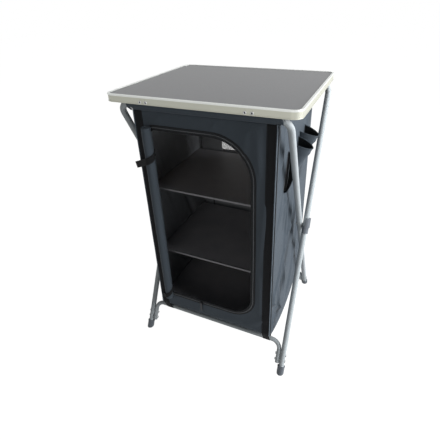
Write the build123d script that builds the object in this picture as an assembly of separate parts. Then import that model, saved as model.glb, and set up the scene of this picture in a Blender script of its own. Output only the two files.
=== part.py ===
from build123d import *
import os
from math import acos, atan2, cos, degrees, hypot, pi, radians, sin

# Folding camping cupboard: two crossed tube frames carry a fabric cabinet with three boards,
# and a removable tabletop locks the frames open. Millimetres, front is -Y, the floor is Z = 0.

# Tabletop
top_width = 600.0
top_depth = 510.0
top_height = 1000.0
rim_height = 24.0
rim_corner_radius = 28.0
rim_wall = 1.6
rim_band_recess = 1.2
rim_bead_height = 4.6
rim_foot_bead_height = 3.0
rim_bead_fillet = 1.1
rim_lip_width = 4.5
rim_lip_thickness = 1.4
rim_seat_width = 8.0
rim_foot_flange_width = 5.0
rim_flange_thickness = 1.5
core_thickness = 8.2
laminate_thickness = 0.8
board_fit_gap = 0.3

# Crossed frames
bar_inset = 23.0
bar_drop = 29.0
foot_reach = 252.0
leg_half_spread = 278.0
tube_diameter = 20.0
tube_wall = 1.0
tube_bend_radius = 45.0
tube_gap_at_cross = 1.2
tube_end_distance = 8.0
leg_joint_drop = 12.0
leg_plug_length = 26.0
leg_plug_clearance = 0.05

# Lower cross-bars, bolted inside the legs
crossbar_diameter = 16.0
crossbar_height = 103.0
crossbar_bend_radius = 32.0
crossbar_end_distance = 34.0
crossbar_to_leg_gap = 0.1
leg_bolt_distances = (46.0, 68.0)
leg_bolt_diameter = 5.0
leg_bolt_head_diameter = 9.5
leg_bolt_head_height = 2.6
leg_nut_height = 3.6

# Foot caps
foot_cap_length = 26.0
foot_cap_wall = 3.2
foot_cap_lip = 0.9
foot_cap_lip_height = 3.0

# Pivots at the crossing
pivot_diameter = 6.0
pivot_head_diameter = 12.0
pivot_head_height = 3.0
pivot_nut_diameter = 9.6
pivot_nut_height = 2.5
pivot_spacer_diameter = 14.0
running_clearance = 0.05
head_bevel_share = 0.55

# Moulded clips over the crossing
clip_collar_length = 21.0
clip_hood_length = 36.0
clip_wall = 3.6
clip_web_thickness = 2.6
clip_nut_gap = 1.0
clip_mouth_half_angle = 58.0
hood_wall = 1.8
hood_slot = 4.6

# Tabletop hooks and rivets
hook_width = 32.0
hook_thickness = 2.0
hook_half_spacing = 162.0
hook_seat_gap = 0.4
hook_seat_overlap_angle = 20.0
rivet_spacing = 19.5
rivet_diameter = 3.2
rivet_head_diameter = 6.4
rivet_head_height = 1.3
rivet_bore_diameter = 2.0
rivet_bore_depth = 3.0

# Fabric cabinet
fabric = 1.2
cabinet_side_gap = 42.0
front_hem_inset = 4.8
rear_hem_inset = 8.8
hem_drop = 19.0
loop_rise = 45.0
sleeve_gap = 0.05
sleeve_bend_cover = 38.0

# Door opening and zip
door_left_stile = 68.0
door_right_stile = 75.0
door_sill = 72.0
door_head = 60.0
door_top_right_radius = 126.0
door_bottom_right_radius = 80.0
door_left_radius = 14.0
zip_tape_width = 17.0
zip_tape_thickness = 1.0
zip_coil_width = 3.2
zip_coil_height = 1.2
zip_coil_offset = 7.0
zip_slider_place = -39.0
zip_slider_length = 10.0
zip_slider_height = 11.0
zip_slider_depth = 3.4
zip_slider_corner = 2.4
zip_bridge_wall = 1.4
zip_pin_diameter = 1.6
zip_eye_wall = 1.0
zip_pull_length = 34.0
zip_pull_width = 7.0
zip_pull_thickness = 1.4
zip_play = 0.1

# Rolled door and its straps
door_roll_diameter = 30.0
door_roll_offset = 5.0
door_roll_cloth = 1.5
door_roll_spacing = 0.9
door_roll_half_turns = 9
door_roll_end = 8.0
tie_strap_width = 22.0
tie_strap_thickness = 1.4
tie_strap_insets = (104.0, 30.0)
tie_strap_seam_angle = 48.0
tie_strap_tail = 12.0
tie_strap_hem = 24.0

# Webbing
webbing_width = 27.0
webbing_thickness = 1.4
webbing_inset = 4.6
piping_diameter = 3.6
piping_inset = 0.4
loop_gap = 0.05

# Boards
board_thickness = 6.0
board_side_gap = 4.0
board_front_gap = 49.2
board_rear_gap = 33.2
board_floor_gap = 0.4
board_rises = (275.0, 229.4)
board_corner_radius = 10.0
binding_width = 6.0
binding_thickness = 0.6
ledge_width = 24.0
ledge_gap = 0.2

# Pockets on the right side
cup_mouth_drops = (106.0, 118.0)
cup_mouth_dip = 22.0
cup_height = 122.0
cup_insets = (151.0, 239.0)
cup_half_width = 34.0
cup_foot_half_width = 25.0
cup_reach = 57.0
cup_foot_reach = 7.0
cup_side_bulge = 7.0
slit_top_inset = (135.0, 126.0)
slit_bottom_inset = (84.0, 244.0)
slit_gape = 19.0
slit_depth = 30.0
slit_seam_rise = 3.0

# Back window
window_drop = 187.0
window_size = (272.0, 176.0)
window_corner_radius = 14.0
window_tape_width = 12.0
mesh_pitch = 16.0
mesh_strand = 2.2

# Derived sizes
bar_reach = top_depth / 2 - bar_inset
bar_height = top_height - bar_drop
tube_radius = tube_diameter / 2
crossbar_radius = crossbar_diameter / 2
frame_a_half = leg_half_spread - tube_radius - tube_gap_at_cross / 2
frame_b_half = leg_half_spread + tube_radius + tube_gap_at_cross / 2
crossbar_a_half = frame_a_half - tube_radius - crossbar_radius - crossbar_to_leg_gap
crossbar_b_half = frame_b_half - tube_radius - crossbar_radius - crossbar_to_leg_gap
leg_run = bar_reach + foot_reach
leg_angle = atan2(leg_run, bar_height)
leg_length = hypot(leg_run, bar_height)
leg_joint_distance = leg_length - tube_bend_radius - leg_joint_drop
cross_distance = leg_length * foot_reach / leg_run
cross_height = cross_distance * cos(leg_angle)
crossbar_distance = crossbar_height / cos(leg_angle)
crossbar_reach = foot_reach - leg_run * crossbar_height / bar_height
rim_inner_offset = rim_band_recess + rim_wall
board_top_height = top_height - rim_lip_thickness
core_top_height = board_top_height - laminate_thickness
core_bottom_height = core_top_height - core_thickness
rim_bottom_height = top_height - rim_height
sleeve_outer = tube_radius + sleeve_gap + fabric
cabinet_half_width = leg_half_spread - cabinet_side_gap
cabinet_front = bar_reach - front_hem_inset
cabinet_rear = bar_reach - rear_hem_inset
cabinet_top = bar_height - hem_drop
cabinet_bottom = crossbar_height + loop_rise
front_face = -cabinet_front
door_left = -cabinet_half_width + door_left_stile
door_right = cabinet_half_width - door_right_stile
door_bottom = cabinet_bottom + door_sill
door_top = cabinet_top - door_head
tie_strap_heights = (door_top - tie_strap_insets[0], door_bottom + tie_strap_insets[1])
board_half_width = cabinet_half_width - board_side_gap
board_front = cabinet_front - board_front_gap
board_rear = cabinet_rear - board_rear_gap
bottom_board_height = cabinet_bottom + fabric + board_floor_gap
middle_shelf_height = bottom_board_height + board_rises[1]
board_heights = (middle_shelf_height + board_rises[0], middle_shelf_height, bottom_board_height)
cup_places = [
    (cabinet_rear - inset, cabinet_top - drop) for inset, drop in zip(cup_insets, cup_mouth_drops)
]
slit_top = (slit_top_inset[0] - cabinet_front, cabinet_top - slit_top_inset[1])
slit_bottom = (slit_bottom_inset[0] - cabinet_front, cabinet_top - slit_bottom_inset[1])
window_centre = (0, cabinet_top - window_drop)
webbing_centre = cabinet_half_width - webbing_inset - webbing_width / 2
rear_bar_straight = crossbar_a_half - crossbar_bend_radius
rear_webbing_centre = min(webbing_centre, rear_bar_straight - webbing_width / 2 - webbing_thickness)
door_roll_radius = door_roll_diameter / 2
door_roll_x = door_left - door_roll_offset
door_roll_y = front_face - zip_tape_thickness - zip_coil_height - zip_play - door_roll_radius
zip_line_height = door_bottom - zip_coil_offset - zip_coil_width / 2
zip_face = front_face - zip_tape_thickness - zip_play
zip_slider_front = zip_face - zip_slider_depth
zip_eye_radius = zip_pin_diameter / 2 + zip_play
zip_pin_y = zip_slider_front - zip_eye_radius - zip_eye_wall - zip_play
zip_bridge_reach = zip_slider_front - zip_pin_y + zip_pin_diameter / 2 + zip_bridge_wall
zip_bridge_gap = zip_slider_length - 2 * zip_bridge_wall

# The plane of a frame whose feet are in front: X across, Y along the leg from the floor
leg_plane = Plane(
    origin=(0, -foot_reach, 0),
    x_dir=(1, 0, 0),
    z_dir=(0, -cos(leg_angle), sin(leg_angle)),
)


def save(name, *pieces):
    """Writes one node, as a compound when it has several solids."""
    solids = [solid for piece in pieces for solid in piece.solids()]
    node = solids[0] if len(solids) == 1 else Compound(children=solids)
    node.label = name
    export_step(node, os.path.join("parts", name + ".step"))


def rear(piece):
    """The same piece turned front to rear."""
    return mirror(piece, about=Plane.XZ)


def pair(piece):
    """A piece and its copy on the other side, left and right."""
    return [piece, mirror(piece, about=Plane.YZ)]


def box(x, y, z):
    """A box from its low and high places along each axis."""
    centre = ((x[0] + x[1]) / 2, (y[0] + y[1]) / 2, (z[0] + z[1]) / 2)
    return Pos(*centre) * Box(x[1] - x[0], y[1] - y[0], z[1] - z[0])


def across(diameter, x, y, z):
    """A round bar along X between two places."""
    return Pos((x[0] + x[1]) / 2, y, z) * Rot(0, 90, 0) * Cylinder(diameter / 2, x[1] - x[0])


def bevelled(piece, face_index, axis, height):
    """Bevels the end of a round head, at the low (0) or high (-1) end of an axis."""
    rim = piece.edges().filter_by(GeomType.CIRCLE).sort_by(axis)[face_index]
    return chamfer(rim, height * head_bevel_share)


def on_leg(distance):
    """The place of the front leg's centre line, in Y and Z, at a distance from the floor."""
    return (-foot_reach + distance * sin(leg_angle), distance * cos(leg_angle))


def u_tube(half_width, low, high, radius, bend):
    """A hollow tube bent to a U in the frame's plane, with both ends down."""
    points = [(-half_width, low), (-half_width, high), (half_width, high), (half_width, low)]
    path = leg_plane * FilletPolyline(*points, radius=bend)
    start = Plane(origin=path @ 0, z_dir=path % 0)
    return sweep(start * (Circle(radius) - Circle(radius - tube_wall)), path=path)


# Frames
def leg_holes(half_width, inward):
    """Bolt holes through both legs, reaching inward through the cross-bar's ends."""
    holes = []
    for distance in leg_bolt_distances:
        y, z = on_leg(distance)
        reach = (half_width - inward, half_width + tube_diameter)
        holes += pair(across(leg_bolt_diameter + 2 * running_clearance, reach, y, z))
    return holes


def leg_plug(half_width):
    """The plug pressed into an end of the top bar, over which the leg slides."""
    bore = tube_radius - tube_wall
    plug = Circle(bore) - Circle(bore - tube_wall)
    tip = Circle(bore - leg_plug_clearance) - Circle(bore - tube_wall)
    joint = leg_plane * Pos(half_width, leg_joint_distance, 0) * Rot(-90, 0, 0)
    return joint * (extrude(plug, leg_joint_drop) + extrude(tip, -leg_plug_length))


def frame_tubes(half_width):
    """One crossed frame: its top bar with both bends, and the two legs plugged onto it."""
    tube = u_tube(half_width, tube_end_distance, leg_length, tube_radius, tube_bend_radius)
    lower = leg_plane * Pos(0, leg_joint_distance / 2, 0) * Box(
        4 * half_width, leg_joint_distance, 2 * tube_diameter
    )
    pivot_hole = pivot_diameter + 2 * running_clearance
    reach = (half_width - tube_diameter, half_width + tube_diameter)
    holes = pair(across(pivot_hole, reach, 0, cross_height)) + leg_holes(half_width, tube_diameter)
    top_bar = tube - lower + pair(leg_plug(half_width))
    return top_bar, (tube & lower) - holes


def crossbar(half_width, bar_half):
    """The thinner bar between the legs, its ends bent down beside them."""
    bar = u_tube(
        bar_half, crossbar_end_distance, crossbar_distance, crossbar_radius, crossbar_bend_radius
    )
    return bar - leg_holes(half_width, tube_diameter + 2 * crossbar_diameter)


def leg_bolts(half_width, bar_half):
    """Round-headed bolts from outside each leg through the cross-bar's end."""
    outer = half_width + tube_radius
    inner = bar_half - crossbar_radius - leg_nut_height
    bolts = []
    for distance in leg_bolt_distances:
        y, z = on_leg(distance)
        head = across(leg_bolt_head_diameter, (outer, outer + leg_bolt_head_height), y, z)
        shank = across(leg_bolt_diameter, (inner, outer), y, z)
        bolts += pair(bevelled(head, -1, Axis.X, leg_bolt_head_height) + shank)
    return bolts


def leg_nuts(bar_half):
    """Hexagon nuts inside the cross-bar's ends."""
    face = bar_half - crossbar_radius
    outline = RegularPolygon(leg_bolt_head_diameter / 2, 6) - Circle(leg_bolt_diameter / 2)
    nuts = []
    for distance in leg_bolt_distances:
        y, z = on_leg(distance)
        nuts += pair(extrude(Plane((face, y, z), z_dir=(-1, 0, 0)) * outline, leg_nut_height))
    return nuts


def foot_caps(half_width):
    """Moulded caps over the tube ends, flat on the floor."""
    outer = tube_radius + foot_cap_wall
    below = -2 * outer
    lip_middle = foot_cap_length - foot_cap_lip_height / 2
    bore_length = foot_cap_length - tube_end_distance
    leg = leg_plane * Pos(half_width, 0, 0) * Rot(-90, 0, 0)
    cap = leg * Pos(0, 0, (foot_cap_length + below) / 2) * Cylinder(outer, foot_cap_length - below)
    lip = leg * Pos(0, 0, lip_middle) * Cylinder(outer + foot_cap_lip, foot_cap_lip_height)
    bore = leg * Pos(0, 0, tube_end_distance + bore_length / 2) * Cylinder(tube_radius, bore_length)
    span = 4 * foot_cap_length
    above_floor = box(
        (half_width - span, half_width + span),
        (-foot_reach - span, -foot_reach + span),
        (0, span),
    )
    return pair((cap + lip - bore) & above_floor)


# Pivots
def pivot_bolts():
    inner = frame_a_half - tube_radius
    outer = frame_b_half + tube_radius + pivot_nut_height
    head = across(pivot_head_diameter, (inner - pivot_head_height, inner), 0, cross_height)
    shank = across(pivot_diameter, (inner, outer), 0, cross_height)
    return pair(bevelled(head, 0, Axis.X, pivot_head_height) + shank)


def pivot_spacers():
    """Thin washers that hold the crossing tubes apart."""
    start = frame_a_half + tube_radius
    reach = (start, start + tube_gap_at_cross)
    disc = across(pivot_spacer_diameter, reach, 0, cross_height)
    return pair(disc - across(pivot_diameter, reach, 0, cross_height))


def pivot_nuts():
    face = frame_b_half + tube_radius
    outline = RegularPolygon(pivot_nut_diameter / 2, 6) - Circle(pivot_diameter / 2)
    return pair(extrude(Plane((face, 0, cross_height), z_dir=(1, 0, 0)) * outline, pivot_nut_height))


def crossing_clips():
    """Moulded clips on the outer legs: a collar below the crossing, an open hood over the nut."""
    hood_inner = tube_radius + hood_slot
    hood_outer = hood_inner + hood_wall
    far = 2 * hood_outer
    mouth_x = -far * cos(radians(clip_mouth_half_angle))
    mouth_y = far * sin(radians(clip_mouth_half_angle))
    mouth = make_face(
        Polyline(
            (0, 0), (mouth_x, mouth_y), (-far, mouth_y), (-far, -mouth_y), (mouth_x, -mouth_y),
            close=True,
        )
    )
    inner_half = Pos(-far / 2, 0) * Rectangle(far, 2 * far)
    inner_strip = Pos(-far / 2 - tube_radius, 0) * Rectangle(far, 2 * far)
    collar = Circle(tube_radius + clip_wall) - Circle(tube_radius) - mouth
    web = Circle(hood_outer) - Circle(tube_radius) - mouth - inner_strip
    hood = Circle(hood_outer) - Circle(hood_inner) - inner_half
    web_place = cross_distance - pivot_nut_diameter / 2 - clip_nut_gap - clip_web_thickness
    leg = leg_plane * Pos(frame_b_half, web_place, 0) * Rot(-90, 0, 0)
    clip = leg * Pos(0, 0, -clip_collar_length) * extrude(collar, clip_collar_length)
    clip += leg * extrude(web, clip_web_thickness)
    clip += leg * extrude(hood, clip_hood_length)
    return pair(clip)


# Tabletop
def edge_profile():
    """The edge's section: outwards along X, up along Y, from its lowest outer corner."""
    top = rim_height
    seat = core_bottom_height - rim_bottom_height
    inner = -rim_inner_offset
    outline = Polyline(
        (0, 0),
        (0, rim_foot_bead_height),
        (-rim_band_recess, rim_foot_bead_height),
        (-rim_band_recess, top - rim_bead_height),
        (0, top - rim_bead_height),
        (0, top),
        (inner - rim_lip_width, top),
        (inner - rim_lip_width, top - rim_lip_thickness),
        (inner, top - rim_lip_thickness),
        (inner, seat),
        (inner - rim_seat_width, seat),
        (inner - rim_seat_width, seat - rim_flange_thickness),
        (inner, seat - rim_flange_thickness),
        (inner, rim_flange_thickness),
        (inner - rim_foot_flange_width, rim_flange_thickness),
        (inner - rim_foot_flange_width, 0),
        close=True,
    )
    profile = make_face(outline)
    beads = [corner for corner in profile.vertices() if abs(corner.X) < rim_band_recess / 2]
    return fillet(beads, rim_bead_fillet)


def rivet_places():
    for hook in (-hook_half_spacing, hook_half_spacing):
        for side in (-rivet_spacing / 2, rivet_spacing / 2):
            yield hook + side


def rivet_height():
    """Half way up the bare wall between the edge's two inner flanges."""
    seat_underside = core_bottom_height - rim_flange_thickness
    return (rim_bottom_height + rim_flange_thickness + seat_underside) / 2


def rivet_holes():
    start = -top_depth / 2
    length = rim_inner_offset + 2 * hook_thickness
    holes = []
    for x in rivet_places():
        plane = Plane((x, start, rivet_height()), z_dir=(0, 1, 0))
        hole = extrude(plane * Circle(rivet_diameter / 2), length)
        holes += [hole, rear(hole)]
    return holes


def edge_extrusion():
    """The aluminium edge, swept round the tabletop with its beads, band and flanges."""
    outline = RectangleRounded(top_width, top_depth, rim_corner_radius).wire()
    path = Pos(0, 0, rim_bottom_height) * outline
    start = path @ 0
    outward = (path % 0).cross(Vector(0, 0, 1))
    if outward.dot(Vector(start.X, start.Y, 0)) < 0:
        outward = outward * -1
    section = Plane(origin=start, x_dir=outward, z_dir=outward.cross(Vector(0, 0, 1)))
    return sweep(section * edge_profile(), path=path) - rivet_holes()


def tabletop_sheet(low, thickness):
    """A rounded board that fits inside the edge."""
    inset = rim_inner_offset + board_fit_gap
    sheet = RectangleRounded(top_width - 2 * inset, top_depth - 2 * inset, rim_corner_radius - inset)
    return extrude(Pos(0, 0, low) * sheet, thickness)


def hook_clips():
    """Steel hooks riveted inside the edge, cupping the outer and upper side of the bars."""
    wall = -top_depth / 2 + rim_inner_offset
    low = rim_bottom_height + rim_flange_thickness
    high = core_bottom_height - rim_flange_thickness - board_fit_gap
    seat_inner = sleeve_outer + hook_seat_gap
    seat_outer = seat_inner + hook_thickness
    web_length = -bar_reach - wall
    far = 3 * seat_outer
    past = radians(90 - hook_seat_overlap_angle)
    sector = make_face(
        Polyline(
            (0, 0), (far * cos(past), far * sin(past)), (0, far), (-far, far), (-far, 0), close=True
        )
    )
    tab = Pos(wall + hook_thickness / 2, (low + high) / 2) * Rectangle(hook_thickness, high - low)
    web = Pos(wall + web_length / 2, low + hook_thickness / 2) * Rectangle(web_length, hook_thickness)
    bar = Pos(-bar_reach, bar_height)
    below_web = Pos(-bar_reach, low - far / 2) * Rectangle(2 * far, far)
    seat = bar * ((Circle(seat_outer) - Circle(seat_inner)) & sector) - below_web
    section = tab + (web - bar * Circle(seat_inner)) + seat
    hook = extrude(Plane.YZ * section, hook_width / 2, both=True)
    hooks = []
    for x in (-hook_half_spacing, hook_half_spacing):
        placed = Pos(x, 0, 0) * hook - rivet_holes()
        hooks += [placed, rear(placed)]
    return hooks


def clip_rivets():
    """Blind rivets through the edge and the hooks, each with the bore its pin left."""
    face = -top_depth / 2 + rim_band_recess
    rivets = []
    for x in rivet_places():
        plane = Plane((x, face, rivet_height()), z_dir=(0, 1, 0))
        shank = extrude(plane * Circle(rivet_diameter / 2), rim_wall + hook_thickness)
        head = extrude(plane * Circle(rivet_head_diameter / 2), -rivet_head_height)
        bore_plane = Plane((x, face - rivet_head_height, rivet_height()), z_dir=(0, 1, 0))
        bore = extrude(bore_plane * Circle(rivet_bore_diameter / 2), rivet_bore_depth)
        rivet = shank + bevelled(head, 0, Axis.Y, rivet_head_height) - bore
        rivets += [rivet, rear(rivet)]
    return rivets


# Cabinet fabric
def door_outline(grow=0.0):
    """The arched door opening, drawn on the front face in X and Z."""
    left = door_left - grow
    right = door_right + grow
    low = door_bottom - grow
    high = door_top + grow
    face = Pos((left + right) / 2, (low + high) / 2) * Rectangle(right - left, high - low)
    rounds = (
        (left, low, door_left_radius),
        (left, high, door_left_radius),
        (right, low, door_bottom_right_radius),
        (right, high, door_top_right_radius),
    )
    for x, z, radius in rounds:
        corner = face.vertices().sort_by_distance((x, z, 0))[0]
        face = fillet(corner, radius + grow)
    return face


def front_sheet(face, outside, thickness):
    """A face drawn in X and Z as a sheet, whose front side stands at a Y place."""
    plane = Plane((0, outside, 0), x_dir=(1, 0, 0), z_dir=(0, -1, 0))
    return extrude(plane * face, -thickness)


def panel_face():
    centre = (cabinet_bottom + cabinet_top) / 2
    return Pos(0, centre) * Rectangle(2 * cabinet_half_width, cabinet_top - cabinet_bottom)


def front_panel():
    return front_sheet(panel_face() - door_outline(), front_face, fabric)


def window_outline(grow=0.0):
    size = (window_size[0] + 2 * grow, window_size[1] + 2 * grow)
    return Pos(*window_centre) * RectangleRounded(*size, window_corner_radius + grow)


def back_panel():
    return front_sheet(panel_face() - window_outline(), cabinet_rear - fabric, fabric)


def window_mesh():
    """A flat net of square gaps that fills the window in the back."""
    gap = mesh_pitch - mesh_strand
    columns = int((window_size[0] - mesh_strand) // mesh_pitch)
    rows = int((window_size[1] - mesh_strand) // mesh_pitch)
    field = Pos(*window_centre) * RectangleRounded(
        columns * mesh_pitch, rows * mesh_pitch, window_corner_radius
    )
    gaps = []
    for place in GridLocations(mesh_pitch, mesh_pitch, columns, rows):
        square = Pos(*window_centre) * place * Rectangle(gap, gap)
        if (square & field).area > gap * gap * 0.999:
            gaps.append(square)
    return front_sheet(window_outline() - gaps, cabinet_rear - fabric, fabric)


def window_tape():
    border = window_outline(window_tape_width) - window_outline()
    return front_sheet(border, cabinet_rear, fabric)


def side_panel():
    """The right side of the cabinet, between the front and back panels."""
    return box(
        (cabinet_half_width - fabric, cabinet_half_width),
        (front_face + fabric, cabinet_rear - fabric),
        (cabinet_bottom + fabric, cabinet_top),
    )


def floor_panel():
    return box(
        (-cabinet_half_width, cabinet_half_width),
        (front_face + fabric, cabinet_rear - fabric),
        (cabinet_bottom, cabinet_bottom + fabric),
    )


def along_bar(half_width, radius):
    """A round solid along the top bar and the part of its bends that the sleeve covers."""
    straight = half_width - tube_bend_radius
    centre = leg_length - tube_bend_radius
    left = CenterArc((-straight, centre), tube_bend_radius, 90 + sleeve_bend_cover, -sleeve_bend_cover)
    bar = Line((-straight, leg_length), (straight, leg_length))
    right = CenterArc((straight, centre), tube_bend_radius, 90, -sleeve_bend_cover)
    path = leg_plane * Wire([left, bar, right])
    return sweep(Plane(origin=path @ 0, z_dir=path % 0) * Circle(radius), path=path)


def top_sleeve(half_width, inside):
    """The fabric tunnel round a frame's bar, with the hem that the panel hangs from."""
    hem = box(
        (-cabinet_half_width, cabinet_half_width),
        (inside, inside + fabric),
        (cabinet_top, bar_height),
    )
    bore = along_bar(half_width, tube_radius + sleeve_gap)
    return along_bar(half_width, sleeve_outer) + hem - bore


def webbing(centre, outside, outward):
    """The two straps up the corners of a panel, laid on its outer face."""
    ys = sorted((outside, outside + outward * webbing_thickness))
    xs = (centre - webbing_width / 2, centre + webbing_width / 2)
    return pair(box(xs, ys, (cabinet_bottom, cabinet_top)))


def bar_loops(centre, outside, outward):
    """Straps from the panel's corners round the cross-bar and back to the floor panel."""
    bar_y = outward * crossbar_reach
    inner = crossbar_radius + loop_gap
    outer = inner + webbing_thickness
    rise = cabinet_bottom - crossbar_height
    near = outside - bar_y
    far = near + outward * webbing_thickness
    below = Pos(0, -outer) * Rectangle(4 * outer, 2 * outer)
    ring = (Circle(outer) - Circle(inner)) & below
    slanted = make_face(
        Polyline((outward * inner, 0), (outward * outer, 0), (far, rise), (near, rise), close=True)
    )
    upright = Pos(-outward * (inner + outer) / 2, rise / 2) * Rectangle(webbing_thickness, rise)
    plane = Plane((centre, bar_y, crossbar_height), x_dir=(0, 1, 0), z_dir=(1, 0, 0))
    return pair(extrude(plane * (ring + slanted + upright), webbing_width / 2, both=True))


def corner_piping():
    """Round piping down the front corners, seated on the front panel's edge."""
    radius = piping_diameter / 2
    length = cabinet_top - cabinet_bottom
    x = cabinet_half_width - piping_inset - radius
    place = Pos(x, front_face - radius, cabinet_bottom + length / 2)
    return pair(place * Cylinder(radius, length))


# Door and zip
def strip(start, end, thickness):
    """A straight strap as a face, between two points of its middle line."""
    along = Vector(*end) - Vector(*start)
    centre = (Vector(*start) + Vector(*end)) / 2
    turned = Rot(0, 0, degrees(atan2(along.Y, along.X))) * Rectangle(along.length, thickness)
    return Pos(centre.X, centre.Y) * turned


def zip_tape():
    """The tape round the opening, with the raised line of the zip's coil."""
    tape = door_outline(zip_tape_width) - door_outline()
    coil = door_outline(zip_coil_offset + zip_coil_width) - door_outline(zip_coil_offset)
    proud = zip_tape_thickness + zip_coil_height
    base = front_sheet(tape, front_face - zip_tape_thickness, zip_tape_thickness)
    return base + front_sheet(coil, front_face - proud, proud)


def spiral(radius, thickness, spacing, half_turns):
    """A wound strip as a face: half circles, each half a wrap smaller than the last."""
    step = (thickness + spacing) / 2
    outer_arcs = []
    inner_arcs = []
    for turn in range(half_turns):
        side = 1 if turn % 2 == 0 else -1
        centre = 0 if turn % 2 == 0 else step
        size = radius - turn * step
        for arcs, arc_radius in ((outer_arcs, size), (inner_arcs, size - thickness)):
            start = (centre - side * arc_radius, 0)
            middle = (centre, side * arc_radius)
            end = (centre + side * arc_radius, 0)
            arcs.append(ThreePointArc(start, middle, end))
    first = Line(outer_arcs[0] @ 0, inner_arcs[0] @ 0)
    last = Line(outer_arcs[-1] @ 1, inner_arcs[-1] @ 1)
    return make_face([first, last] + outer_arcs + inner_arcs)


def rolled_door():
    """The door panel rolled up outside, along the left edge of the opening."""
    low = door_bottom + door_roll_end
    length = door_top - door_roll_end - low
    seam_x = door_roll_offset + door_roll_cloth / 2 + zip_play
    seam_angle = acos(seam_x / (door_roll_radius - door_roll_cloth / 2))
    seam_y = (door_roll_radius - door_roll_cloth / 2) * sin(seam_angle)
    wound = spiral(door_roll_radius, door_roll_cloth, door_roll_spacing, door_roll_half_turns)
    tail = strip((seam_x, seam_y), (seam_x, front_face + fabric - door_roll_y), door_roll_cloth)
    section = Rot(0, 0, degrees(seam_angle) - 180) * wound + tail
    return Pos(door_roll_x, door_roll_y, low) * extrude(section, length)


def tie_straps():
    """Hook and loop straps from inside the opening round the rolled door, with free ends."""
    middle = door_roll_radius + zip_play + tie_strap_thickness / 2
    tail = (
        -cabinet_half_width - tie_strap_tail - door_roll_x,
        front_face - piping_diameter - tie_strap_thickness - door_roll_y,
    )
    leave_angle = atan2(tail[1], tail[0]) + acos(middle / hypot(*tail)) - 2 * pi
    seam_angle = radians(tie_strap_seam_angle)
    half_angle = (leave_angle + seam_angle) / 2
    near = middle - tie_strap_thickness / 2
    far = middle + tie_strap_thickness / 2

    def around(radius, angle):
        return (radius * cos(angle), radius * sin(angle))

    wrap = make_face(
        [
            ThreePointArc(*[around(near, angle) for angle in (seam_angle, half_angle, leave_angle)]),
            Line(around(near, leave_angle), around(far, leave_angle)),
            ThreePointArc(*[around(far, angle) for angle in (leave_angle, half_angle, seam_angle)]),
            Line(around(far, seam_angle), around(near, seam_angle)),
        ]
    )
    seam_x, seam_y = around(middle, seam_angle)
    inside = front_face + fabric + tie_strap_thickness / 2 - door_roll_y
    lining = strip((seam_x - tie_strap_hem, inside), (seam_x, inside), tie_strap_thickness)
    upright = strip(
        (seam_x, seam_y - tie_strap_thickness / 2),
        (seam_x, inside + tie_strap_thickness / 2),
        tie_strap_thickness,
    )
    free_end = strip(around(middle, leave_angle), tail, tie_strap_thickness)
    section = wrap + lining + upright + free_end
    straps = []
    for height in tie_strap_heights:
        place = Pos(door_roll_x, door_roll_y, height - tie_strap_width / 2)
        straps.append(place * extrude(section, tie_strap_width))
    return straps


def zip_slider():
    """The slider over the zip's coil on its lower run, with a bridge and pin for its pull."""
    centre = (zip_slider_place, (zip_face + zip_slider_front) / 2, zip_line_height)
    body = Pos(*centre) * Box(zip_slider_length, zip_slider_depth, zip_slider_height)
    body = fillet(body.edges().filter_by(Axis.Y), zip_slider_corner)
    channel = Pos(zip_slider_place, zip_face - zip_coil_height / 2, zip_line_height) * Box(
        2 * zip_slider_length, zip_coil_height, zip_coil_width + 2 * zip_play
    )
    cheek = Pos(0, zip_slider_front - zip_bridge_reach / 2, zip_line_height) * Box(
        zip_bridge_wall, zip_bridge_reach, 2 * zip_eye_radius + 2 * zip_eye_wall
    )
    offset = (zip_slider_length - zip_bridge_wall) / 2
    cheeks = [Pos(zip_slider_place + side * offset, 0, 0) * cheek for side in (-1, 1)]
    pin_ends = (zip_slider_place - offset, zip_slider_place + offset)
    pin = across(zip_pin_diameter, pin_ends, zip_pin_y, zip_line_height)
    return body - channel + cheeks + pin


def zip_pull():
    """The pull tab, hanging on the slider's pin by its eye."""
    neck_half = zip_bridge_gap / 2 - zip_play
    neck_low = zip_line_height - zip_slider_height / 2 - zip_eye_wall
    thin = (zip_pin_y - zip_pull_thickness / 2, zip_pin_y + zip_pull_thickness / 2)
    neck_ends = (zip_slider_place - neck_half, zip_slider_place + neck_half)
    tab_ends = (zip_slider_place - zip_pull_width / 2, zip_slider_place + zip_pull_width / 2)
    eye = across(2 * (zip_eye_radius + zip_eye_wall), neck_ends, zip_pin_y, zip_line_height)
    neck = box(neck_ends, thin, (neck_low, zip_line_height))
    tab = box(tab_ends, thin, (neck_low - zip_pull_length, neck_low))
    tab = fillet(tab.edges().filter_by(Axis.Y), zip_pull_width / 3)
    hole = across(2 * zip_eye_radius, neck_ends, zip_pin_y, zip_line_height)
    return eye + neck + tab - hole


# Boards
def board(low):
    """A stiff board with rounded corners and the raised binding along its front edge."""
    depth = board_front + board_rear
    centre = (board_rear - board_front) / 2
    sheet = RectangleRounded(2 * board_half_width, depth, board_corner_radius)
    body = extrude(Pos(0, centre, low) * sheet, board_thickness)
    strip = box(
        (-board_half_width + board_corner_radius, board_half_width - board_corner_radius),
        (-board_front, -board_front + binding_width),
        (low + board_thickness, low + board_thickness + binding_thickness),
    )
    return body + strip


def board_ledges():
    """Fabric ledges sewn to the sides, which carry the two upper boards."""
    inner = cabinet_half_width - fabric
    ledges = []
    for low in board_heights[:2]:
        top = low - ledge_gap
        ledges += pair(box((inner - ledge_width, inner), (-board_front, board_rear), (top - fabric, top)))
    return ledges


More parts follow.
